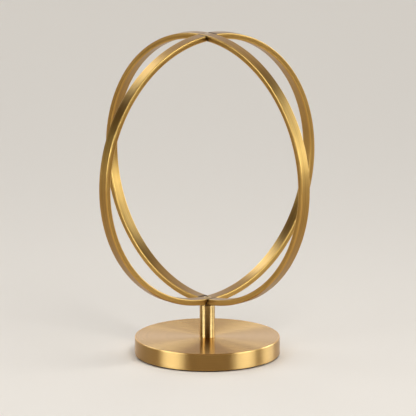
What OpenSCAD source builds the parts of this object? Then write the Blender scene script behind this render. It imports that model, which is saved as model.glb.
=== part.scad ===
// Table sculpture of two brass hoops that cross at the top and at the bottom,
// on a short round post and a weighted round base.
// All lengths are in millimetres. The origin is at the centre of the underside.

/* [Hoops] */
// Outside diameter of each hoop
hoop_d = 324; // [220:1:460]
// Width of the flat bar, along the axis of the hoop
bar_w = 13.5; // [11:0.5:18]
// Thickness of the flat bar, towards the centre of the hoop
bar_t = 7; // [5.5:0.25:9]
// Bevel along the four edges of the bar
bar_bevel = 0.7; // [0.2:0.05:1.2]
// Angle between the two hoops, seen from above
crossing_angle = 86; // [60:1:90]

/* [Lap joints] */
// Gap beside the other bar in each notch
lap_gap = 0.25; // [0.1:0.05:0.5]
// Depth of the flats that heads and seat bear on, cut into the curved bar
land_depth = 0.15; // [0.1:0.05:0.3]
// Shank of the rivet through the top lap
rivet_d = 4; // [3:0.5:5]
// Head of the rivet, inside the hoops
rivet_head_d = 7.5; // [7:0.25:9]
// Height of that head
rivet_head_h = 1.6; // [1:0.1:2.5]
// Outside end of the rivet, peened into its countersink and filed flush
rivet_peen_d = 6.5; // [6:0.25:8]
// Depth of the countersink for the peened end
rivet_peen_h = 1.3; // [0.8:0.1:2]
// Thread of the screw through the bottom lap
screw_d = 5; // [4:0.5:6]
// Countersunk head of that screw
screw_head_d = 9.2; // [8:0.1:10]
// Height of its low crown above the countersink
screw_crown_h = 1; // [0.6:0.1:1.6]
// Hexagon socket in its head, across the flats
screw_key_af = 3; // [2:0.5:3.5]
// Depth of the hexagon socket
screw_key_h = 1.8; // [1:0.1:2.2]

/* [Hoop seat] */
// Diameter of the spacer between hoops and post
seat_d = 11; // [10:0.25:14]
// Thickness of the spacer
seat_t = 1.2; // [0.8:0.1:3]

/* [Post] */
// Diameter of the post
post_d = 18; // [15:0.5:30]
// Length of the post that shows
post_h = 39; // [34:1:90]
// Bevel at both ends of the post
post_bevel = 0.6; // [0.2:0.1:1.2]
// Depth of the recess in the base that the post stands in
register_depth = 1; // [0.5:0.1:1.5]

/* [Base] */
// Diameter of the base
base_d = 170; // [120:1:240]
// Height of the base with its pad
base_h = 22; // [18:0.5:40]
// Side wall of the base shell
shell_wall = 2.5; // [1.5:0.25:5]
// Top of the base shell
shell_top = 3; // [2:0.25:5]
// Bevel round the top edge of the base
base_bevel = 1; // [0.4:0.1:1.4]
// Thickness of the pad under the base
pad_t = 1.5; // [1:0.25:3]
// Distance of the pad from the edge of the base
pad_inset = 3.5; // [2:0.25:10]

/* [Base bolt] */
// Thread of the bolt that comes up through the base
bolt_d = 8; // [6:1:10]
// Head of the bolt, across the flats
bolt_head_af = 13; // [12:1:17]
// Height of the bolt head
bolt_head_h = 5.3; // [4:0.1:7]
// Diameter of the flat washer
washer_d = 16; // [15:0.5:21]
// Thickness of the flat washer
washer_t = 1.6; // [1:0.1:2.5]
// Diameter of the spring washer
spring_d = 14; // [13:0.5:18]
// Thickness of the spring washer
spring_t = 2; // [1.4:0.1:2.5]
// Diameter of the pocket for head and washers
pocket_d = 24; // [22:0.5:32]

/* [Clearances] */
// Clearance round a thread in its tapped hole, and round the rivet
thread_fit = 0.05; // [0.02:0.01:0.1]
// Clearance round a screw or bolt in a plain hole
hole_fit = 0.2; // [0.1:0.05:0.3]
// Clearance round the post in its recess
register_fit = 0.1; // [0.05:0.05:0.2]
// Clearance round the weight in the shell
weight_fit = 0.3; // [0.2:0.05:0.6]
// Space between the bolt head and the pad
head_space = 1; // [0.5:0.1:2]

/* [Hidden] */
$fn = 96;

// Share of the post's length that each tapped hole and each thread takes
tapped_share = 0.42;
thread_share = 0.36;
// Bevels on small parts, as shares of their height
head_bevel_share = 0.12;
washer_bevel_share = 0.15;
// Width of the split in the spring washer
split_w = 1.5;
// Bevel on the edges of the iron weight
weight_bevel = 1.2;
// How far a cut runs past the surface that it opens
overrun = 2;

hoop_r = hoop_d / 2;
post_foot_z = base_h - register_depth;
post_top_z = base_h + post_h;
post_len = post_top_z - post_foot_z;
hoop_z = post_top_z + seat_t - land_depth + hoop_r;

// The two laps meet on a flat at half the thickness of the bar
lap_r = hoop_r - bar_t / 2;
bore_r = hoop_r - bar_t;
notch_w = bar_w + 2 * lap_gap;
notch_len = 3 * bar_w;

shell_r = base_d / 2;
cavity_r = shell_r - shell_wall;
cavity_top_z = base_h - shell_top;
weight_r = cavity_r - weight_fit;
bolt_head_z = pad_t + head_space;
spring_z = bolt_head_z + bolt_head_h;
washer_z = spring_z + spring_t;
pocket_top_z = washer_z + washer_t;

// Outline of a turned part from radius r0 to r1 and height z0 to z1, with bevelled corners
function bevelled(r0, r1, z0, z1, b) = [
  [r0 + b, z0], [r1 - b, z0], [r1, z0 + b], [r1, z1 - b],
  [r1 - b, z1], [r0 + b, z1], [r0, z1 - b], [r0, z0 + b]
];

// The same for a solid disc, which has no corners at its centre
function bevelled_disc(r, z0, z1, b) = [
  [0, z0], [r - b, z0], [r, z0 + b], [r, z1 - b], [r - b, z1], [0, z1]
];

module turned_disc(r, z0, z1, b) {
  rotate_extrude() polygon(bevelled_disc(r, z0, z1, b));
}

// Straight round hole or shank between two heights
module round_between(r, z0, z1) {
  translate([0, 0, z0])
    cylinder(r = r, h = z1 - z0);
}

// One hoop standing upright, with its plane turned to an angle seen from above
module hoop_bar(angle) {
  rotate([0, 0, angle])
    rotate([90, 0, 0])
      rotate_extrude($fn = 240)
        polygon(bevelled(bore_r, hoop_r, -bar_w / 2, bar_w / 2, bar_bevel));
}

// The slot that a bar at this angle needs, from height z0 to z1 above the hoop's centre
module notch(angle, z0, z1) {
  rotate([0, 0, angle])
    translate([-notch_len / 2, -notch_w / 2, z0])
      cube([notch_len, notch_w, z1 - z0]);
}

first_angle = -crossing_angle / 2;
second_angle = crossing_angle / 2;

// Outer hoop: its inner half is notched away at both poles
module first_hoop() {
  color([0.74, 0.58, 0.33])
    translate([0, 0, hoop_z])
      difference() {
        hoop_bar(first_angle);
        notch(second_angle, bore_r - overrun, lap_r);
        notch(second_angle, -lap_r, -bore_r + overrun);
        round_between(rivet_d / 2 + thread_fit, lap_r - overrun, hoop_r + overrun);
        translate([0, 0, hoop_r - rivet_peen_h])
          peen_cone(thread_fit, overrun);
        round_between(screw_d / 2 + hole_fit, -hoop_r - overrun, -lap_r + overrun);
        round_between(seat_d / 2 + hole_fit, -hoop_r - overrun, -hoop_r + land_depth);
      }
}

// Inner hoop: its outer half is notched away at both poles
module second_hoop() {
  color([0.74, 0.58, 0.33])
    translate([0, 0, hoop_z])
      difference() {
        hoop_bar(second_angle);
        notch(first_angle, lap_r, hoop_r + overrun);
        notch(first_angle, -hoop_r - overrun, -lap_r);
        round_between(rivet_d / 2 + thread_fit, bore_r - overrun, lap_r + overrun);
        round_between(rivet_head_d / 2 + hole_fit, bore_r - overrun, bore_r + land_depth);
        round_between(screw_d / 2 + hole_fit, -lap_r - overrun, -bore_r + overrun);
        translate([0, 0, -bore_r])
          countersink(hole_fit, overrun);
      }
}

// Cone of the peened rivet end from its foot at height zero, with a clearance round it
module peen_cone(gap, past) {
  flare = (rivet_peen_d - rivet_d) / 2 / rivet_peen_h;
  cylinder(
    r1 = rivet_d / 2 + gap,
    r2 = rivet_d / 2 + gap + flare * (rivet_peen_h + past),
    h = rivet_peen_h + past
  );
}

// Countersink for the screw head, with its mouth at height zero and a clearance round it
module countersink(gap, past) {
  depth = (screw_head_d - screw_d) / 2;
  translate([0, 0, -depth])
    cylinder(
      r1 = screw_d / 2 + gap,
      r2 = screw_head_d / 2 + gap + past,
      h = depth + past
    );
}

// Rivet with a low round head inside and a peened end that follows the outer hoop
module top_rivet() {
  head_z = bore_r + land_depth;
  crown_r = (pow(rivet_head_d / 2, 2) + pow(rivet_head_h, 2)) / (2 * rivet_head_h);
  color([0.66, 0.52, 0.30])
    translate([0, 0, hoop_z])
      union() {
        intersection() {
          union() {
            round_between(rivet_d / 2, head_z - rivet_head_h / 2, hoop_r + overrun);
            translate([0, 0, hoop_r - rivet_peen_h])
              peen_cone(0, overrun);
          }
          rotate([0, 0, first_angle])
            rotate([90, 0, 0])
              cylinder(r = hoop_r, h = bar_w, center = true, $fn = 240);
        }
        intersection() {
          translate([0, 0, head_z + crown_r - rivet_head_h])
            sphere(r = crown_r);
          round_between(rivet_head_d / 2 + overrun, head_z - rivet_head_h, head_z);
        }
      }
}

// Countersunk screw with a low crown and a hexagon socket, driven down into the post
module post_screw() {
  cone_h = (screw_head_d - screw_d) / 2;
  head_top_z = hoop_z - bore_r;
  tip_z = post_top_z - thread_share * post_len;
  crown_r = (pow(screw_head_d / 2, 2) + pow(screw_crown_h, 2)) / (2 * screw_crown_h);
  color([0.66, 0.52, 0.30])
    difference() {
      union() {
        round_between(screw_d / 2, tip_z, head_top_z - cone_h / 2);
        translate([0, 0, head_top_z - cone_h])
          cylinder(r1 = screw_d / 2, r2 = screw_head_d / 2, h = cone_h);
        intersection() {
          translate([0, 0, head_top_z + screw_crown_h - crown_r])
            sphere(r = crown_r);
          round_between(screw_head_d / 2 + overrun, head_top_z, head_top_z + screw_crown_h);
        }
      }
      translate([0, 0, head_top_z + screw_crown_h - screw_key_h])
        cylinder(d = screw_key_af / cos(30), h = screw_key_h + overrun, $fn = 6);
    }
}

// Spacer that lifts the hoops off the post and leaves a thin shadow line
module hoop_seat() {
  color([0.35, 0.27, 0.16])
    difference() {
      turned_disc(seat_d / 2, post_top_z, post_top_z + seat_t, seat_t * washer_bevel_share);
      round_between(screw_d / 2 + hole_fit, post_top_z - overrun, post_top_z + seat_t + overrun);
    }
}

// Round post, tapped at both ends
module post() {
  hole_depth = tapped_share * post_len;
  color([0.70, 0.54, 0.28])
    difference() {
      turned_disc(post_d / 2, post_foot_z, post_top_z, post_bevel);
      round_between(screw_d / 2 + thread_fit, post_top_z - hole_depth, post_top_z + overrun);
      round_between(bolt_d / 2 + thread_fit, post_foot_z - overrun, post_foot_z + hole_depth);
    }
}

// Turned brass shell, open below
module base_shell() {
  color([0.76, 0.62, 0.38])
    difference() {
      turned_disc(shell_r, pad_t, base_h, base_bevel);
      round_between(cavity_r, pad_t - overrun, cavity_top_z);
      round_between(bolt_d / 2 + hole_fit, cavity_top_z - overrun, base_h + overrun);
      round_between(post_d / 2 + register_fit, post_foot_z, base_h + overrun);
    }
}

// Cast iron weight that fills the shell, with a pocket for the bolt head
module base_weight() {
  color([0.22, 0.22, 0.23])
    difference() {
      turned_disc(weight_r, pad_t, cavity_top_z, weight_bevel);
      round_between(pocket_d / 2, pad_t - overrun, pocket_top_z);
      round_between(bolt_d / 2 + hole_fit, pocket_top_z - overrun, cavity_top_z + overrun);
    }
}

// Hexagon bolt from below through washers, weight and shell into the post
module base_bolt() {
  tip_z = post_foot_z + thread_share * post_len;
  corner_r = bolt_head_af / 2 / cos(30);
  color([0.62, 0.63, 0.65])
    union() {
      intersection() {
        translate([0, 0, bolt_head_z])
          cylinder(r = corner_r, h = bolt_head_h, $fn = 6);
        turned_disc(corner_r, bolt_head_z, spring_z, bolt_head_h * head_bevel_share);
      }
      round_between(bolt_d / 2, spring_z - bolt_head_h / 2, tip_z);
    }
}

// Ring with a hole for the base bolt
module bolt_ring(d, z0, z1, b) {
  difference() {
    turned_disc(d / 2, z0, z1, b);
    round_between(bolt_d / 2 + hole_fit, z0 - overrun, z1 + overrun);
  }
}

module flat_washer() {
  color([0.62, 0.63, 0.65])
    bolt_ring(washer_d, washer_z, pocket_top_z, washer_t * washer_bevel_share);
}

// Spring washer pressed flat, with its slanted split
module spring_washer() {
  color([0.45, 0.46, 0.48])
    difference() {
      bolt_ring(spring_d, spring_z, washer_z, spring_t * washer_bevel_share);
      translate([spring_d / 4, 0, spring_z + spring_t / 2])
        rotate([30, 0, 0])
          cube([spring_d, split_w, 2 * spring_d], center = true);
    }
}

// Felt pad glued under the weight
module felt_pad() {
  color([0.08, 0.08, 0.08])
    turned_disc(shell_r - pad_inset, 0, pad_t, pad_t * washer_bevel_share);
}

first_hoop();
second_hoop();
top_rivet();
post_screw();
hoop_seat();
post();
base_shell();
base_weight();
base_bolt();
flat_washer();
spring_washer();
felt_pad();
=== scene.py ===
"""Looks of a small sculpture: two flat-bar brass hoops that cross at the top and at the bottom.

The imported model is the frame. The hoops, the post, the base and the felt disc are modelled again
here with rounded edges. The small fixings keep their frame meshes and get finishes.
All lengths are in metres.
"""

import math
from collections import namedtuple

import bpy
from bpy.props import FloatProperty, FloatVectorProperty, IntProperty, PointerProperty
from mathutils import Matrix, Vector


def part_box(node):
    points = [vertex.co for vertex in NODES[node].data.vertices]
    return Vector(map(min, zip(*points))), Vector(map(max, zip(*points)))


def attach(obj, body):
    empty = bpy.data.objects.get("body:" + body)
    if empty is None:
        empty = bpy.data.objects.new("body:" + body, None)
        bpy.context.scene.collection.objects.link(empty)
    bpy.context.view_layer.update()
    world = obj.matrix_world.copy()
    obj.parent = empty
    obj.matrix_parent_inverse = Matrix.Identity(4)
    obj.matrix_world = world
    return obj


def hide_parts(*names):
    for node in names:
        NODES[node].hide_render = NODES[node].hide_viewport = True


bl_info = {
    "name": "Ring sculpture",
    "version": (1, 0, 0),
    "blender": (4, 5, 0),
    "location": "3D View > Sidebar > Sculpture",
    "description": "Two lapped brass hoops on a post and a turned base, in a plain studio",
    "category": "Add Mesh",
}

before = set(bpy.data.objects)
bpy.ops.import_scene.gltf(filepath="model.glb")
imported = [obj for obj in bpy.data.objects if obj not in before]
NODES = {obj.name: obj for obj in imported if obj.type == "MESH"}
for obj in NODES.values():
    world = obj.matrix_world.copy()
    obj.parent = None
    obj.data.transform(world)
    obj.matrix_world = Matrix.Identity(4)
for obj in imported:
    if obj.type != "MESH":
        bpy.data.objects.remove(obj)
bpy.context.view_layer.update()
BODY = "root"

HOOP_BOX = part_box("first_hoop")
POST_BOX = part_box("post")
SHELL_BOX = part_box("base_shell")
PAD_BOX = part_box("felt_pad")

# Two points closer than this are the same point
NEAR = 1e-6

# Faces that meet at more than this angle keep a sharp edge between them
SHARP = math.radians(35)
FELT_SHARP = math.radians(80)

# Cutters: sides of a drill, and length of a notch's block in widths of the notch
DRILL_SIDES = 64
BLOCK_LENGTH = 3

# The rims of a hole lie within this many times its radius
RIM_REACH = 1.05

# Seed of the draw for the felt's uneven edge
FELT_SEED = 5

# Soft lamps: name, place, width and power in watts
STUDIO_LAMPS = (
    ("key_lamp", (0.5, -0.6, 1.5), 0.9, 17.0),
    ("fill_lamp", (-0.7, -0.4, 1.2), 0.9, 4.5),
    ("back_lamp", (-0.2, 1.4, 1.7), 1.2, 9.0),
)
LAMP_TARGET = Vector((0, 0, 0.15))

# Soft panels that the brass reflects. Azimuth is seen from above, from the front (-Y) towards +X;
# half is half of the width; low and high are elevations; soft is how far an edge fades to either
# side. These are all in degrees
Panel = namedtuple("Panel", "azimuth half low high soft strength")
SIDE_PANELS = (
    Panel(-56, 14, -90, 24, 12, 9.4),
    Panel(65, 13, -90, 24, 12, 9.2),
    Panel(116, 12, -90, 36, 9, 5.1),
    Panel(-134, 12, 34, 56, 9, 5.2),
)
BACK_PANEL = Panel(180, 42, -90, 90, 16, 0.86)

# Colours of the side panels, of the back panel and of the dim space between them
SIDE_TONE = (0.89, 1.10, 1.40)
BACK_TONE = (0.92, 0.95, 1.00)
DIM_TONE = (0.085, 0.052, 0.027)

# Even light on everything, and the white background
WHITE = (1.0, 1.0, 1.0)
EVEN_LIGHT = 0.25
BACKGROUND = 0.97

# Floor: its sides, its roughness, the strength of the white in what is seen of it, and where that
# white starts and is full, in radii of the base, with its share
FLOOR_SIDES = 128
FLOOR_ROUGHNESS = 0.7
FLOOR_GLOW = 0.95
FLOOR_WHITE = ((1, 2, 0.30), (6, 24, 0.35))

# Camera: width of its sensor in millimetres, and the nearest and furthest distance that it sees
SENSOR_WIDTH = 36
CLIP_START, CLIP_END = 0.1, 100


# Settings


def size(name, description, default, low, high):
    """A length that a user may change."""
    return FloatProperty(
        name=name, description=description, default=default, min=low, max=high,
        subtype="DISTANCE", unit="LENGTH", precision=5,
    )


def angle(name, description, default, low, high):
    """An angle that a user may change, given in degrees."""
    return FloatProperty(
        name=name, description=description, default=math.radians(default),
        min=math.radians(low), max=math.radians(high), subtype="ANGLE",
    )


def colour(name, description, default):
    """A colour that a user may change, as linear red, green and blue."""
    return FloatVectorProperty(
        name=name, description=description, default=default, min=0, max=1,
        size=3, subtype="COLOR",
    )


def count(name, description, default, low, high):
    """A number of sides or segments that a user may change."""
    return IntProperty(name=name, description=description, default=default, min=low, max=high)


class HoopSettings(bpy.types.PropertyGroup):
    """The flat bar that the hoops are rolled from, and its brass"""

    diameter: size("Diameter", "Outside diameter of each hoop", 0.324, 0.22, 0.46)
    bar_width: size("Bar width", "Width of the flat bar", 0.0135, 0.011, 0.018)
    bar_thickness: size("Bar thickness", "Thickness of the flat bar", 0.007, 0.0055, 0.009)
    edge_radius: size("Edge radius", "Rounding of the bar's edges", 0.0012, 0.0002, 0.002)
    edge_steps: count("Edge steps", "Segments of each rounded edge", 4, 2, 8)
    crossing: angle("Crossing angle", "Angle between the hoops, seen from above", 86, 60, 90)
    steps: count("Steps", "Segments round each hoop", 360, 120, 720)
    light_brass: colour("Light brass", "Where the brushing is bright", (0.46, 0.258, 0.062))
    deep_brass: colour("Deep brass", "Where the lacquer is thick", (0.27, 0.134, 0.022))


class LapSettings(bpy.types.PropertyGroup):
    """Notches, holes and flats where the hoops cross"""

    gap: size("Gap", "Gap beside the other bar in each notch", 0.00025, 0.0001, 0.0005)
    rivet_hole: size("Rivet hole", "Radius of the hole for the rivet", 0.00205, 0.001, 0.003)
    peen_mouth: size("Peen mouth", "Radius of the rivet's countersink", 0.0033, 0.002, 0.005)
    peen_depth: size("Peen depth", "Depth of the rivet's countersink", 0.0013, 0.0005, 0.002)
    head_land: size("Head land", "Radius of the rivet head's flat", 0.00395, 0.003, 0.005)
    screw_hole: size("Screw hole", "Radius of the hole for the screw", 0.0027, 0.002, 0.004)
    screw_mouth: size("Screw mouth", "Radius of the screw's countersink", 0.0048, 0.003, 0.006)
    seat_land: size("Seat land", "Radius of the flat on the spacer", 0.0057, 0.005, 0.008)
    land: size("Land", "Depth of the flats", 0.00015, 0.0001, 0.0003)
    # Reach of the painted shade beside the laps
    lap_shade_reach: size("Tarnish", "Reach of the tarnish beside the laps", 0.0045, 0.001, 0.01)
    overrun: size("Overrun", "How far a cutter runs past a surface", 0.002, 0.001, 0.004)


class BaseSettings(bpy.types.PropertyGroup):
    """The turned base, its brass and the felt under it"""

    edge_radius: size("Edge radius", "Rounding of the base's edges", 0.0010, 0.0003, 0.0014)
    edge_steps: count("Edge steps", "Segments of its rounded edges", 5, 2, 8)
    sides: count("Sides", "Sides of the turned base", 256, 96, 512)
    wall: size("Wall", "Side wall of the shell", 0.0025, 0.0015, 0.005)
    top: size("Top", "Thickness of the shell's top", 0.003, 0.002, 0.005)
    recess_gap: size("Recess gap", "Gap round the post in its recess", 0.0001, 0.00005, 0.0002)
    recess_depth: size("Recess depth", "Depth of that recess", 0.001, 0.0005, 0.0015)
    bolt_hole: size("Bolt hole", "Radius of the hole for the bolt", 0.0042, 0.003, 0.006)
    light_brass: colour("Light brass", "Where the turning is bright", (0.71, 0.425, 0.135))
    deep_brass: colour("Deep brass", "Where the turning is dull", (0.57, 0.328, 0.092))
    # Side of the base, painted darker than its top as painted shade
    shaded_side_brass: colour("Side brass", "Under the thick lacquer of the side", (0.46, 0.262, 0.084))
    felt_sides: count("Felt sides", "Sides of the felt disc", 360, 96, 720)
    felt_edge: size("Felt edge", "Rounding of the felt's edge", 0.0004, 0.0001, 0.0007)
    felt_edge_steps: count("Felt edge steps", "Segments of that rounding", 3, 1, 6)
    felt_fray: size("Felt fray", "Unevenness of the felt's edge", 0.00012, 0, 0.0003)
    felt: colour("Felt", "Colour of the felt's wool", (0.035, 0.033, 0.032))


class PostSettings(bpy.types.PropertyGroup):
    """The post and its brass"""

    edge_radius: size("Edge radius", "Rounding at both ends", 0.0006, 0.0002, 0.0012)
    edge_steps: count("Edge steps", "Segments of that rounding", 4, 2, 8)
    sides: count("Sides", "Sides of the turned post", 128, 48, 256)
    screw_bore: size("Screw bore", "Radius of the upper tapped hole", 0.00255, 0.002, 0.004)
    bolt_bore: size("Bolt bore", "Radius of the lower tapped hole", 0.00405, 0.003, 0.006)
    bore_share: FloatProperty(
        name="Bore share", description="Depth of each tapped hole, as a share of the post",
        default=0.42, min=0.3, max=0.48, subtype="FACTOR",
    )
    light_brass: colour("Light brass", "Colour of the polished bar", (0.60, 0.39, 0.145))
    deep_brass: colour("Deep brass", "Colour in its fine scratches", (0.40, 0.24, 0.070))


class FixingSettings(bpy.types.PropertyGroup):
    """Metals of the small fixings and of the weight"""

    brass: colour("Brass", "Rivet and screw", (0.62, 0.45, 0.22))
    dark_brass: colour("Dark brass", "Spacer below the hoops", (0.20, 0.13, 0.06))
    zinc: colour("Zinc", "Bolt and flat washer", (0.60, 0.61, 0.63))
    spring: colour("Spring steel", "Spring washer", (0.30, 0.31, 0.33))
    iron: colour("Iron", "Painted cast weight", (0.045, 0.045, 0.05))
    rubbed_iron: colour("Rubbed iron", "Where its paint is rubbed off", (0.16, 0.13, 0.11))


class StageSettings(bpy.types.PropertyGroup):
    """The camera and the floor"""

    distance: size("Distance", "From the camera to the post, along the floor", 20.0, 1, 40)
    height: size("Height", "Camera above the floor", 5.197, 0, 20)
    aim_height: size("Aim height", "Height of the middle of the view", 0.1766, 0, 1)
    aim_side: size("Aim side", "Middle of the view, to the right of the axis", 0.0008, -1, 1)
    azimuth: angle("Azimuth", "Camera's turn round the sculpture", 1.81, -180, 180)
    lens: FloatProperty(name="Lens", description="Focal length", default=1526.0, unit="CAMERA")
    floor_radius: size("Floor radius", "Radius of the round floor", 40, 10, 100)
    floor: colour("Floor", "Colour of the plain floor", (0.80, 0.75, 0.68))


# Shader maths


# Most of a noise lies between these values
NOISE_LOW, NOISE_HIGH = 0.3, 0.7


class Signal:
    """One output socket of a shader node, used in Python expressions as a number."""

    def __init__(self, recipe, socket):
        self.recipe = recipe
        self.socket = socket

    def math(self, operation, *values):
        return self.recipe.add("Math", dict(enumerate(values)), {"operation": operation})

    def __add__(self, other):
        return self.math("ADD", self, other)

    __radd__ = __add__

    def __sub__(self, other):
        return self.math("SUBTRACT", self, other)

    def __rsub__(self, other):
        return self.math("SUBTRACT", other, self)

    def __mul__(self, other):
        return self.math("MULTIPLY", self, other)

    __rmul__ = __mul__

    def __truediv__(self, other):
        return self.math("DIVIDE", self, other)

    def __pow__(self, other):
        return self.math("POWER", self, other)

    def __abs__(self):
        return self.math("ABSOLUTE", self)

    def rise(self, start, end):
        """0 before start and 1 past end, with a smooth rise between them."""
        inputs = {"Value": self, "From Min": start, "From Max": end, "To Min": 0.0, "To Max": 1.0}
        return self.recipe.add("MapRange", inputs, {"interpolation_type": "SMOOTHSTEP"})

    def stretched(self):
        """A noise drawn out so that it reaches 0 and 1."""
        return self.rise(NOISE_LOW, NOISE_HIGH)


class Recipe:
    """The node tree of one material or world, with one method that adds any node."""

    def __init__(self, owner):
        owner.use_nodes = True
        self.tree = owner.node_tree
        self.tree.nodes.clear()

    def add(self, kind, inputs=None, settings=None, output=0):
        """Adds a node, sets it, fills its sockets and returns the named or numbered output."""
        node = self.tree.nodes.new("ShaderNode" + kind)
        for name, value in (settings or {}).items():
            setattr(node, name, value)
        for name, value in (inputs or {}).items():
            if isinstance(value, Signal):
                self.tree.links.new(value.socket, node.inputs[name])
            else:
                node.inputs[name].default_value = value
        return Signal(self, node.outputs[output]) if node.outputs else None

    def between(self, share, first, second):
        """The colour at that share of the way from first to second. The Mix node has sockets of
        one name for numbers, vectors and colours, so those for colours are given by number."""
        first, second = (c if isinstance(c, Signal) else (*c, 1) for c in (first, second))
        return self.add("Mix", {0: share, 6: first, 7: second}, {"data_type": "RGBA"}, output=2)

    def split(self, vector):
        """The x, y and z of a vector."""
        outputs = self.add("SeparateXYZ", {"Vector": vector}).socket.node.outputs
        return [Signal(self, socket) for socket in outputs]

    def rays(self, *kinds):
        """For each kind, 1 on rays of that kind and 0 on the others."""
        outputs = self.add("LightPath").socket.node.outputs
        return [Signal(self, outputs["Is %s Ray" % kind]) for kind in kinds]

    def surface(self, shader):
        """Makes the shader the material's surface."""
        self.add("OutputMaterial", {"Surface": shader})

    def principled(self, **inputs):
        """A Principled shader. The names of its sockets are written with _ for a space."""
        named = {name.replace("_", " "): value for name, value in inputs.items()}
        return self.add("BsdfPrincipled", named)


class TurnedPlace:
    """Where a point is on a turned or rolled part: round its axis, along it and out from it."""

    def __init__(self, recipe, centre=(0, 0, 0), turn=0.0, axis="Z"):
        self.recipe = recipe
        coords = recipe.add("TexCoord", output="Object")
        moved = recipe.add(
            "Mapping", {"Vector": coords, "Location": centre, "Rotation": (0, 0, turn)},
            {"vector_type": "TEXTURE"},
        )
        x, y, z = recipe.split(moved)
        self.round = (x, z) if axis == "Y" else (x, y)
        self.along = y if axis == "Y" else z
        self.out = (self.round[0] ** 2 + self.round[1] ** 2) ** 0.5

    def vector(self, round_width, along_width, seed):
        """The point in widths of a pattern, which are given round the axis and along it."""
        return self.recipe.add("CombineXYZ", {
            0: self.round[0] * (1 / round_width),
            1: self.round[1] * (1 / round_width),
            2: self.along * (1 / along_width) + seed,
        })

    def streaks(self, pitch, length, detail=2.0, seed=0.0):
        """Noise from 0 to 1, drawn out round the axis: pitch is its width."""
        vector = self.vector(length, pitch, seed)
        inputs = {"Vector": vector, "W": self.out * (1 / pitch), "Scale": 1.0, "Detail": detail}
        return self.recipe.add("TexNoise", inputs, {"noise_dimensions": "4D"})

    def clouds(self, width, detail=2.0, seed=0.0):
        """Even noise from 0 to 1, with patches of that width."""
        inputs = {"Vector": self.vector(width, width, seed), "Scale": 1.0, "Detail": detail}
        return self.recipe.add("TexNoise", inputs)


# Finishes


# Brushed brass: pitch and length of its fine and broad lines, width and share of its haze, and
# what haze and lines change in its roughness
FINE_LINES = (0.00045, 0.03)
BROAD_LINES = (0.0016, 0.30)
HAZE_WIDTH = 0.06
HAZE_SHARE = 0.25
HAZE_ROUGHNESS = 0.05
LINE_ROUGHNESS = 0.12
COAT_ROUGHNESS = 0.3

# Edges of the brass, lightened as a painted highlight with some wear: how much of its tone they
# change, how much lighter they are, and how far this reaches from an edge, in radii of its rounding
EDGE_HIGHLIGHT_SHARE = 0.7
EDGE_HIGHLIGHT_LIGHT = 1.3
HOOP_EDGE_REACH = 1.6
BASE_EDGE_REACH = 1.5

# Painted shade in the corners of the laps: how much of the brass's tone it changes, how dark and
# how rough it is
LAP_SHADE_SHARE = 0.95
LAP_SHADE_DARK = 0.08
LAP_SHADE_ROUGHNESS = 0.25

# The base, whose side is painted darker than its top as painted shade
TOP_ROUGHNESS = 0.26
SIDE_ROUGHNESS = 0.40
SIDE_SHADE_SHARE = 0.7

# Felt: width of its fibres and tufts, what tufts add to tone and relief, and its darkest and
# lightest tone beside its colour
FIBRE_WIDTH = 0.0006
TUFT_WIDTH = 0.004
TUFT_SHARE = 0.3
TUFT_RELIEF = 0.4
FELT_DARK = 0.45
FELT_LIGHT = 1.6
FELT_RELIEF = 0.0003
FELT_ROUGHNESS = 0.9
FIBRE_ROUGHNESS = 0.1

# Machined metal: pitch and length of its marks, width and tone of its dull patches, and what both
# change in its roughness
MARKS = (0.0003, 0.01)
PATCH_WIDTH = 0.004
PATCH_DARK = 0.72
PATCH_ROUGHNESS = 0.2
MARK_ROUGHNESS = 0.1

# Painted cast iron: its grain, and its rubbed spots with the values of a noise where they start
# and are full
GRAIN_WIDTH = 0.0012
GRAIN_RELIEF = 0.0004
GRAIN_ROUGHNESS = 0.3
PAINT_ROUGHNESS = 0.55
SPOT_WIDTH = 0.012
SPOT_RISE = (0.58, 0.70)
SPOT_SHARE = 0.5
SPOT_METAL = 0.4


def shaded(tone, factor):
    """The tone made darker or lighter by that factor."""
    return [min(1.0, part * factor) for part in tone]


def rim_highlight_mask(place, radius, high, aside, below):
    """1 on the upper outer edge of a turned piece, which gets a painted highlight with some wear.
    aside and below are how far in from its side and down from its top the mask starts, and where it
    is full."""
    on_side = place.out.rise(*(radius - depth for depth in aside))
    return on_side * place.along.rise(*(high - depth for depth in below))


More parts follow.
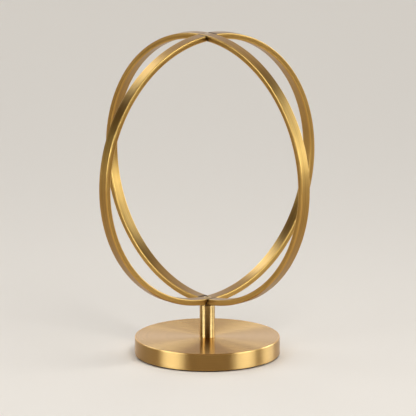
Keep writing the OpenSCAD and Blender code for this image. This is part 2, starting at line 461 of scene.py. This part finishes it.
def satin_brass(place, tones, groove, lines, roughness, edge, dark=None, stretch=0.0, across=0.0,
                polish=0.0, lacquer=0.0, tint=None):
    """Brushed and lacquered brass. tones are the light and the deep one, groove is the depth of
    the brushing, lines is how much its broad lines show, edge is a mask of the edges, which get a
    painted highlight with some wear, dark is a mask of the corners, which get painted shade, and
    stretch is how much the brushing draws out a reflection, at across of a full turn. polish is how
    much smoother the edges are, lacquer is how much the clear coat reflects, and tint is a mask
    with a colour painted there, which on the base's side is painted shade."""
    recipe = place.recipe
    light, deep = tones
    fine = place.streaks(*FINE_LINES, detail=1.0)
    broad = place.streaks(*BROAD_LINES, seed=7.0)
    haze = place.clouds(HAZE_WIDTH, seed=3.0)
    share = broad.stretched() * lines + haze.stretched() * HAZE_SHARE
    share = share + fine.stretched() * (1 - HAZE_SHARE - lines)
    tone = recipe.between(share, deep, light)
    # A colour painted over the mask; on the base's side it is painted shade
    if tint is not None:
        mask, tinted = tint
        tone = recipe.between(mask, tone, tinted)
    # Painted highlight on the edges, with some wear
    tone = recipe.between(edge * EDGE_HIGHLIGHT_SHARE, tone, shaded(light, EDGE_HIGHLIGHT_LIGHT))
    rough = roughness + (haze - 0.5) * HAZE_ROUGHNESS
    rough = rough + (broad - 0.5) * LINE_ROUGHNESS * lines - edge * polish
    # Painted shade in the corners
    if dark is not None:
        tone = recipe.between(dark * LAP_SHADE_SHARE, tone, shaded(deep, LAP_SHADE_DARK))
        rough = rough + dark * LAP_SHADE_ROUGHNESS
    relief = (fine - 0.5 + (broad - 0.5) * lines) * (1 - edge)
    normal = recipe.add("Bump", {"Height": relief, "Distance": groove})
    recipe.surface(recipe.principled(
        Base_Color=tone, Metallic=1.0, Roughness=rough, Normal=normal, Anisotropic=stretch,
        Anisotropic_Rotation=across, Coat_Weight=lacquer, Coat_Roughness=COAT_ROUGHNESS,
    ))


def hoop_finish(name, hoops, laps, turn, centre_z, notched):
    """Brass brushed along the bar, with painted shade in the corners of the laps and a painted
    highlight on its edges. notched is 1 where the outer half of the bar is cut away and -1 where
    the inner half is."""
    material = bpy.data.materials.new(name)
    place = TurnedPlace(Recipe(material), (0, 0, centre_z), turn, "Y")
    half_w, half_t = hoops.bar_width / 2, hoops.bar_thickness / 2
    above_middle = place.out - (hoops.diameter / 2 - half_t)
    reach = HOOP_EDGE_REACH * hoops.edge_radius
    sides = abs(place.along).rise(half_w - reach, half_w - reach / 2)
    faces = abs(above_middle).rise(half_t - reach, half_t - reach / 2)
    aside = abs(place.round[0])
    # Painted shade beside the other bar, in the notched half of the bar's thickness
    beside = aside.rise(half_w - laps.gap, half_w) * (1 - aside.rise(half_w, half_w + laps.lap_shade_reach))
    cut_half = (above_middle * notched).rise(-half_t / 3, half_t / 3)
    satin_brass(
        place, (hoops.light_brass, hoops.deep_brass), groove=0.00006, lines=0.6,
        roughness=0.34, edge=sides * faces, dark=beside * cut_half, stretch=0.3, lacquer=0.14,
    )
    return material


def post_finish(post, radius, high):
    """Fine turned brass, nearly polished, with a painted highlight on its upper rim."""
    material = bpy.data.materials.new("post_brass")
    place = TurnedPlace(Recipe(material))
    edge = rim_highlight_mask(place, radius, high, aside=(0.0012, 0.0004), below=(0.0010, 0.0003))
    satin_brass(
        place, (post.light_brass, post.deep_brass), groove=0.000004, lines=0.2,
        roughness=0.30, edge=edge, stretch=1.0, across=0.25, polish=0.06,
    )
    return material


def base_finish(base, radius, high):
    """Brass turned round the axis on the top and on the side, with a painted highlight on the rim
    and the side painted darker as painted shade.
    """
    material = bpy.data.materials.new("base_brass")
    place = TurnedPlace(Recipe(material))
    reach = BASE_EDGE_REACH * base.edge_radius
    edge = rim_highlight_mask(place, radius, high, aside=(reach, reach / 2), below=(reach, reach / 2))
    side = place.out.rise(radius - base.edge_radius, radius - base.edge_radius / 2)
    # The side's darker colour is painted shade
    satin_brass(
        place, (base.light_brass, base.deep_brass), groove=0.000015, lines=0.25,
        roughness=TOP_ROUGHNESS + side * (SIDE_ROUGHNESS - TOP_ROUGHNESS), edge=edge,
        stretch=1.0, across=0.25, polish=0.06, tint=(side * SIDE_SHADE_SHARE, base.shaded_side_brass),
    )
    return material


def felt_finish(base):
    """Pressed wool with short fibres lying every way."""
    material = bpy.data.materials.new("felt")
    recipe = Recipe(material)
    place = TurnedPlace(recipe)
    fibres = place.clouds(FIBRE_WIDTH, detail=4.0)
    tufts = place.clouds(TUFT_WIDTH, seed=9.0)
    share = fibres.stretched() * (1 - TUFT_SHARE) + tufts.stretched() * TUFT_SHARE
    tone = recipe.between(share, shaded(base.felt, FELT_DARK), shaded(base.felt, FELT_LIGHT))
    relief = fibres + tufts * TUFT_RELIEF
    normal = recipe.add("Bump", {"Height": relief, "Distance": FELT_RELIEF})
    rough = FELT_ROUGHNESS + fibres * FIBRE_ROUGHNESS
    recipe.surface(recipe.principled(
        Base_Color=tone, Roughness=rough, Normal=normal, Sheen_Weight=0.4, Sheen_Roughness=0.5,
    ))
    return material


def plain_metal(name, tone, roughness, depth):
    """Machined metal with turning marks of that depth, and small dull patches."""
    material = bpy.data.materials.new(name)
    recipe = Recipe(material)
    place = TurnedPlace(recipe)
    marks = place.streaks(*MARKS)
    patches = place.clouds(PATCH_WIDTH, detail=3.0)
    shade = recipe.between(patches.stretched(), shaded(tone, PATCH_DARK), tone)
    rough = roughness + (patches - 0.5) * PATCH_ROUGHNESS + (marks - 0.5) * MARK_ROUGHNESS
    normal = recipe.add("Bump", {"Height": marks, "Distance": depth})
    recipe.surface(recipe.principled(
        Base_Color=shade, Metallic=1.0, Roughness=rough, Normal=normal,
    ))
    return material


def cast_iron(name, tone, rubbed):
    """Sand-cast iron under black paint, with rubbed spots."""
    material = bpy.data.materials.new(name)
    recipe = Recipe(material)
    place = TurnedPlace(recipe)
    grain = place.clouds(GRAIN_WIDTH, detail=4.0)
    spots = place.clouds(SPOT_WIDTH, detail=3.0, seed=4.0).rise(*SPOT_RISE)
    shade = recipe.between(spots * SPOT_SHARE, tone, rubbed)
    normal = recipe.add("Bump", {"Height": grain, "Distance": GRAIN_RELIEF})
    rough = PAINT_ROUGHNESS + grain * GRAIN_ROUGHNESS
    recipe.surface(recipe.principled(
        Base_Color=shade, Metallic=spots * SPOT_METAL, Roughness=rough, Normal=normal,
    ))
    return material


def floor_finish(stage):
    """Plain pale floor. What is seen of it is partly white, more so far from the sculpture, so
    that it stays pale and keeps the shadow."""
    material = bpy.data.materials.new("floor")
    recipe = Recipe(material)
    spread = TurnedPlace(recipe).out
    foot = SHELL_BOX[1].x
    share = sum(spread.rise(near * foot, far * foot) * part for near, far, part in FLOOR_WHITE)
    plain = recipe.principled(Base_Color=(*stage.floor, 1), Roughness=FLOOR_ROUGHNESS)
    white = recipe.add("Emission", {"Color": (*stage.floor, 1), "Strength": FLOOR_GLOW})
    # 1 where the camera sees the floor, also by way of a mirror or glass
    seen = sum(recipe.rays("Camera", "Glossy", "Transmission")).rise(0.0, 1.0)
    recipe.surface(recipe.add("MixShader", {0: seen * share, 1: plain, 2: white}))
    return material


def panel_mask(panel, x, y, z):
    """1 in the directions of the panel, with soft edges."""
    turn = math.radians(panel.azimuth)
    facing = (x * math.sin(turn) - y * math.cos(turn)) / (x ** 2 + y ** 2) ** 0.5
    outer, inner = (math.cos(math.radians(panel.half + side)) for side in (panel.soft, -panel.soft))
    mask = facing.rise(outer, inner)
    for end, sign in ((panel.low, 1), (panel.high, -1)):
        # A panel that ends at 90 degrees goes on without an edge
        if abs(end) < 90:
            start_side, end_side = -sign * panel.soft, sign * panel.soft
            edges = (math.sin(math.radians(end + side)) for side in (start_side, end_side))
            mask = mask * z.rise(*edges)
    return mask


def studio_world(scene):
    """Even light, a white background, and tall soft panels in the dark for the brass to reflect."""
    world = bpy.data.worlds.new("studio")
    scene.world = world
    recipe = Recipe(world)
    x, y, z = recipe.split(recipe.add("TexCoord", output="Generated"))
    sides = sum(panel_mask(panel, x, y, z) * panel.strength for panel in SIDE_PANELS)
    back = panel_mask(BACK_PANEL, x, y, z) * BACK_PANEL.strength
    camera, glossy = recipe.rays("Camera", "Glossy")

    def glow(tone, strength):
        return recipe.add("Background", {"Color": (*tone, 1), "Strength": strength})

    behind = recipe.add("AddShader", {0: glow(BACK_TONE, back), 1: glow(DIM_TONE, 1.0)})
    reflected = recipe.add("AddShader", {0: glow(SIDE_TONE, sides), 1: behind})
    lit = recipe.add("MixShader", {0: glossy, 1: glow(WHITE, EVEN_LIGHT), 2: reflected})
    surroundings = recipe.add("MixShader", {0: camera, 1: lit, 2: glow(WHITE, BACKGROUND)})
    recipe.add("OutputWorld", {"Surface": surroundings})


# Modelling by hand


def start(add, name, scale=(1, 1, 1), **where):
    """Adds a primitive on its own, with its place in its mesh, and leaves it in edit mode."""
    bpy.ops.object.select_all(action="DESELECT")
    add(**where)
    piece = bpy.context.active_object
    piece.name = piece.data.name = name
    piece.scale = scale
    bpy.ops.object.transform_apply(location=True, rotation=True, scale=True)
    bpy.ops.object.mode_set(mode="EDIT")
    bpy.ops.mesh.select_all(action="DESELECT")
    return piece


def start_turned(name, sides, radius, low, high):
    """Starts a turned piece with a cylinder on the axis between two heights."""
    return start(
        bpy.ops.mesh.primitive_cylinder_add, name, vertices=sides, radius=radius,
        depth=high - low, location=(0, 0, (low + high) / 2),
    )


def pick(piece, kind, test):
    """In edit mode, selects only the faces or edges with every corner inside the test."""
    bpy.ops.mesh.select_all(action="DESELECT")
    bpy.ops.mesh.select_mode(type=kind)
    bpy.ops.object.mode_set(mode="OBJECT")
    mesh = piece.data
    for item in mesh.polygons if kind == "FACE" else mesh.edges:
        item.select = all(test(mesh.vertices[i].co) for i in item.vertices)
    bpy.ops.object.mode_set(mode="EDIT")


def at_height(z, beyond=-1.0):
    """A test for corners at that height, further than that from the upright axis."""
    return lambda co: abs(co.z - z) < NEAR and math.hypot(co.x, co.y) > beyond - NEAR


def round_rim(piece, z, radius, roundness, segments):
    """Rounds the outer edge of a turned piece at that height."""
    pick(piece, "EDGE", at_height(z, beyond=radius - roundness))
    bpy.ops.mesh.bevel(offset=roundness, segments=segments, profile=0.5, affect="EDGES")


def sink(piece, z, step_in, depth):
    """Insets the flat face at that height and moves what is inside down by that depth."""
    pick(piece, "FACE", at_height(z))
    bpy.ops.mesh.inset(thickness=step_in, use_even_offset=True)
    if depth:
        move = {"value": (0, 0, -depth)}
        bpy.ops.mesh.extrude_region_move(TRANSFORM_OT_translate=move)


def finish_mesh(piece, sharp=SHARP):
    """Ends the edit: doubles merged, faces outwards, smooth except at sharp corners."""
    bpy.ops.mesh.select_mode(type="VERT")
    bpy.ops.mesh.select_all(action="SELECT")
    bpy.ops.mesh.remove_doubles(threshold=NEAR)
    bpy.ops.mesh.normals_make_consistent(inside=False)
    bpy.ops.object.mode_set(mode="OBJECT")
    bpy.ops.object.shade_smooth_by_angle(angle=sharp)
    return piece


def block(low, high, width, turn):
    """A cutter: a long box across the axis between two heights."""
    piece = start(
        bpy.ops.mesh.primitive_cube_add, "block", size=1, rotation=(0, 0, turn),
        location=(0, 0, (low + high) / 2), scale=(BLOCK_LENGTH * width, width, high - low),
    )
    return finish_mesh(piece)


def drill(low, high, low_radius, high_radius):
    """A cutter: a round or conical drill on the axis between two heights."""
    piece = start(
        bpy.ops.mesh.primitive_cone_add, "drill", vertices=DRILL_SIDES, radius1=low_radius,
        radius2=high_radius, depth=high - low, location=(0, 0, (low + high) / 2),
    )
    return finish_mesh(piece)


def cut(piece, *cutters):
    """Cuts the cutters out of the piece and throws them away."""
    for cutter in cutters:
        bpy.ops.object.select_all(action="DESELECT")
        bpy.context.view_layer.objects.active = piece
        piece.select_set(True)
        modifier = piece.modifiers.new("cut", "BOOLEAN")
        modifier.operation = "DIFFERENCE"
        modifier.solver = "EXACT"
        modifier.object = cutter
        bpy.ops.object.modifier_apply(modifier=modifier.name)
        bpy.data.objects.remove(cutter)
    bpy.ops.object.shade_smooth_by_angle(angle=SHARP)


def settle(piece, slot_name, material, *replaced):
    """The finished piece gets normals that keep its flats flat beside rounded edges, and its
    finish. It stands for its frame nodes and rides on the body."""
    bpy.context.view_layer.objects.active = piece
    modifier = piece.modifiers.new("flats", "WEIGHTED_NORMAL")
    modifier.mode = "FACE_AREA"
    modifier.keep_sharp = True
    bpy.ops.object.modifier_apply(modifier=modifier.name)
    piece.data.materials.clear()
    piece.data.materials.append(material)
    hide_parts(*replaced)
    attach(piece, BODY)


def aim_at(item, target):
    """Turns a lamp or a camera towards a point."""
    item.rotation_euler = (target - item.location).to_track_quat("-Z", "Y").to_euler()


# Pieces


def hoop_bar(name, hoops, turn, centre_z):
    """A full hoop of rounded bar: the bar's section is spun round, turned and lifted."""
    middle = (hoops.diameter - hoops.bar_thickness) / 2
    piece = start(
        bpy.ops.mesh.primitive_plane_add, name, size=1, location=(middle, 0, 0),
        scale=(hoops.bar_thickness, hoops.bar_width, 1),
    )
    bpy.ops.mesh.select_all(action="SELECT")
    bpy.ops.mesh.bevel(
        offset=hoops.edge_radius, segments=hoops.edge_steps, profile=0.5, affect="VERTICES",
    )
    bpy.ops.mesh.select_mode(type="FACE")
    bpy.ops.mesh.select_all(action="SELECT")
    bpy.ops.mesh.delete(type="ONLY_FACE")
    bpy.ops.mesh.select_mode(type="VERT")
    bpy.ops.mesh.select_all(action="SELECT")
    bpy.ops.mesh.spin(
        steps=hoops.steps, angle=math.tau, center=(0, 0, 0), axis=(0, 1, 0),
        use_auto_merge=True,
    )
    finish_mesh(piece)
    piece.rotation_euler = (0, 0, turn)
    piece.location = (0, 0, centre_z)
    bpy.ops.object.transform_apply(location=True, rotation=True, scale=True)
    return piece


class SCULPTURE_OT_hoops(bpy.types.Operator):
    """Rolls both hoops, notches them into each other at both poles and brushes them"""

    bl_idname = "sculpture.hoops"
    bl_label = "Lapped hoops"

    def execute(self, context):
        hoops = context.scene.sculpture_hoops
        laps = context.scene.sculpture_laps
        radius = hoops.diameter / 2
        bore = radius - hoops.bar_thickness
        lap = radius - hoops.bar_thickness / 2
        centre_z = HOOP_BOX[1].z - radius
        notch = hoops.bar_width + 2 * laps.gap
        first_turn, second_turn = -hoops.crossing / 2, hoops.crossing / 2
        past = laps.overrun

        def up(value):
            return centre_z + value

        outer = hoop_bar("first_hoop_bar", hoops, first_turn, centre_z)
        flare = (laps.peen_mouth - laps.rivet_hole) / laps.peen_depth
        cut(
            outer,
            block(up(bore - past), up(lap), notch, second_turn),
            block(up(-lap), up(-bore + past), notch, second_turn),
            drill(up(lap - past), up(radius + past), laps.rivet_hole, laps.rivet_hole),
            drill(
                up(radius - laps.peen_depth), up(radius + past),
                laps.rivet_hole, laps.rivet_hole + flare * (laps.peen_depth + past),
            ),
            drill(up(-radius - past), up(-lap + past), laps.screw_hole, laps.screw_hole),
            drill(up(-radius - past), up(-radius + laps.land), laps.seat_land, laps.seat_land),
        )
        inner = hoop_bar("second_hoop_bar", hoops, second_turn, centre_z)
        sink_depth = laps.screw_mouth - laps.screw_hole
        cut(
            inner,
            block(up(lap), up(radius + past), notch, first_turn),
            block(up(-radius - past), up(-lap), notch, first_turn),
            drill(up(bore - past), up(lap + past), laps.rivet_hole, laps.rivet_hole),
            drill(up(bore - past), up(bore + laps.land), laps.head_land, laps.head_land),
            drill(up(-lap - past), up(-bore + past), laps.screw_hole, laps.screw_hole),
            drill(
                up(-bore - sink_depth), up(-bore + past),
                laps.screw_hole, laps.screw_mouth + past,
            ),
        )
        for piece, node, turn, notched in (
            (outer, "first_hoop", first_turn, -1),
            (inner, "second_hoop", second_turn, 1),
        ):
            material = hoop_finish(node + "_brass", hoops, laps, turn, centre_z, notched)
            settle(piece, "hoop_brass", material, node)
        return {"FINISHED"}


class SCULPTURE_OT_post(bpy.types.Operator):
    """Turns the post and bores it at both ends"""

    bl_idname = "sculpture.post"
    bl_label = "Post"

    def execute(self, context):
        post = context.scene.sculpture_post
        low, high = POST_BOX[0].z, POST_BOX[1].z
        radius = POST_BOX[1].x
        piece = start_turned("turned_post", post.sides, radius, low, high)
        for z in (low, high):
            round_rim(piece, z, radius, post.edge_radius, post.edge_steps)
        flat = radius - post.edge_radius
        depth = post.bore_share * (high - low)
        sink(piece, high, flat - post.screw_bore, depth)
        sink(piece, low, flat - post.bolt_bore, -depth)
        finish_mesh(piece)
        settle(piece, "post_brass", post_finish(post, radius, high), "post")
        return {"FINISHED"}


class SCULPTURE_OT_base(bpy.types.Operator):
    """Turns the hollow base, with the recess that the post stands in"""

    bl_idname = "sculpture.base"
    bl_label = "Base"

    def execute(self, context):
        base = context.scene.sculpture_base
        low, high = SHELL_BOX[0].z, SHELL_BOX[1].z
        radius = SHELL_BOX[1].x
        piece = start_turned("turned_base", base.sides, radius, low, high)
        for z in (low, high):
            round_rim(piece, z, radius, base.edge_radius, base.edge_steps)
        flat = radius - base.edge_radius
        recess = POST_BOX[1].x + base.recess_gap
        sink(piece, high, flat - recess, base.recess_depth)
        sink(piece, high - base.recess_depth, recess - base.bolt_hole, 0)
        bpy.ops.mesh.delete(type="FACE")
        ceiling = high - base.top
        sink(piece, low, base.wall - base.edge_radius, low - ceiling)
        sink(piece, ceiling, radius - base.wall - base.bolt_hole, 0)
        bpy.ops.mesh.delete(type="FACE")

        def on_rim(co):
            return math.hypot(co.x, co.y) < base.bolt_hole * RIM_REACH

        pick(piece, "EDGE", on_rim)
        bpy.ops.mesh.bridge_edge_loops()
        finish_mesh(piece)
        settle(piece, "base_brass", base_finish(base, radius, high), "base_shell")
        return {"FINISHED"}


class SCULPTURE_OT_felt(bpy.types.Operator):
    """Cuts the felt disc under the base, with its soft uneven edge"""

    bl_idname = "sculpture.felt"
    bl_label = "Felt"

    def execute(self, context):
        base = context.scene.sculpture_base
        low, high = PAD_BOX[0].z, PAD_BOX[1].z
        radius = PAD_BOX[1].x
        piece = start_turned("felt_disc", base.felt_sides, radius, low, high)
        for z in (low, high):
            round_rim(piece, z, radius, base.felt_edge, base.felt_edge_steps)
        for z in (low, high):
            sink(piece, z, base.felt_edge, 0)

        def on_edge(co):
            return low + base.felt_fray < co.z < high - base.felt_fray

        pick(piece, "FACE", on_edge)
        bpy.ops.transform.vertex_random(
            offset=base.felt_fray, uniform=1.0, normal=0.0, seed=FELT_SEED,
        )
        finish_mesh(piece, sharp=FELT_SHARP)
        settle(piece, "felt", felt_finish(base), "felt_pad")
        return {"FINISHED"}


class SCULPTURE_OT_fixings(bpy.types.Operator):
    """Finishes the rivet, screw, spacer, bolt, washers and weight, which keep their shapes"""

    bl_idname = "sculpture.fixings"
    bl_label = "Fixings"

    def execute(self, context):
        fixings = context.scene.sculpture_fixings
        brass = plain_metal("fixing_brass", fixings.brass, roughness=0.30, depth=0.00002)
        dark = plain_metal("seat_brass", fixings.dark_brass, roughness=0.55, depth=0.00003)
        zinc = plain_metal("zinc_plate", fixings.zinc, roughness=0.34, depth=0.00001)
        spring = plain_metal("spring_steel", fixings.spring, roughness=0.42, depth=0.00001)
        iron = cast_iron("cast_iron", fixings.iron, fixings.rubbed_iron)
        for node, material in (
            ("top_rivet", brass), ("post_screw", brass), ("hoop_seat", dark),
            ("base_bolt", zinc), ("flat_washer", zinc), ("spring_washer", spring),
            ("base_weight", iron),
        ):
            NODES[node].data.materials.clear()
            NODES[node].data.materials.append(material)
        return {"FINISHED"}


class SCULPTURE_OT_stage(bpy.types.Operator):
    """Makes the floor, the soft studio light and the camera"""

    bl_idname = "sculpture.stage"
    bl_label = "Studio"

    def execute(self, context):
        stage = context.scene.sculpture_stage
        floor = start(
            bpy.ops.mesh.primitive_circle_add, "floor", vertices=FLOOR_SIDES,
            radius=stage.floor_radius, fill_type="NGON",
        )
        bpy.ops.object.mode_set(mode="OBJECT")
        floor.data.materials.append(floor_finish(stage))
        studio_world(context.scene)
        for name, place, width, power in STUDIO_LAMPS:
            bpy.ops.object.light_add(type="AREA", location=place)
            lamp = bpy.context.active_object
            lamp.name = name
            lamp.data.shape = "DISK"
            lamp.data.size = width
            lamp.data.energy = power
            lamp.visible_camera = False
            lamp.visible_glossy = False
            aim_at(lamp, LAMP_TARGET)
        turn = stage.azimuth
        back = stage.distance
        bpy.ops.object.camera_add(
            location=(back * math.sin(turn), -back * math.cos(turn), stage.height),
        )
        camera = bpy.context.active_object
        camera.name = "camera"
        side = stage.aim_side
        aim_at(camera, Vector((side * math.cos(turn), side * math.sin(turn), stage.aim_height)))
        camera.data.sensor_width = SENSOR_WIDTH
        camera.data.lens = stage.lens
        camera.data.clip_start, camera.data.clip_end = CLIP_START, CLIP_END
        context.scene.camera = camera
        context.scene.view_settings.view_transform = "Standard"
        return {"FINISHED"}


# Sidebar and registration


class SCULPTURE_PT_panel(bpy.types.Panel):
    """Lists the sizes, the colours and the steps"""

    bl_label = "Ring sculpture"
    bl_idname = "SCULPTURE_PT_panel"
    bl_space_type = "VIEW_3D"
    bl_region_type = "UI"
    bl_category = "Sculpture"

    def draw(self, context):
        for name, _, operators in GROUPS:
            group = getattr(context.scene, name)
            box = self.layout.box()
            for prop in group.__annotations__:
                box.prop(group, prop)
            for operator in operators:
                box.operator(operator.bl_idname)


# Each group of settings with the operators that use it, in the order of the work
GROUPS = (
    ("sculpture_stage", StageSettings, (SCULPTURE_OT_stage,)),
    ("sculpture_base", BaseSettings, (SCULPTURE_OT_base, SCULPTURE_OT_felt)),
    ("sculpture_post", PostSettings, (SCULPTURE_OT_post,)),
    ("sculpture_hoops", HoopSettings, (SCULPTURE_OT_hoops,)),
    ("sculpture_laps", LapSettings, ()),
    ("sculpture_fixings", FixingSettings, (SCULPTURE_OT_fixings,)),
)


def register():
    for name, group, operators in GROUPS:
        for item in (group, *operators):
            bpy.utils.register_class(item)
        setattr(bpy.types.Scene, name, PointerProperty(type=group))
    bpy.utils.register_class(SCULPTURE_PT_panel)


def unregister():
    bpy.utils.unregister_class(SCULPTURE_PT_panel)
    for name, group, operators in reversed(GROUPS):
        delattr(bpy.types.Scene, name)
        for item in (*operators, group):
            bpy.utils.unregister_class(item)


def main():
    register()
    bpy.ops.sculpture.stage()
    bpy.ops.sculpture.base()
    bpy.ops.sculpture.felt()
    bpy.ops.sculpture.post()
    bpy.ops.sculpture.hoops()
    bpy.ops.sculpture.fixings()
    bpy.context.view_layer.update()


if __name__ == "__main__":
    main()
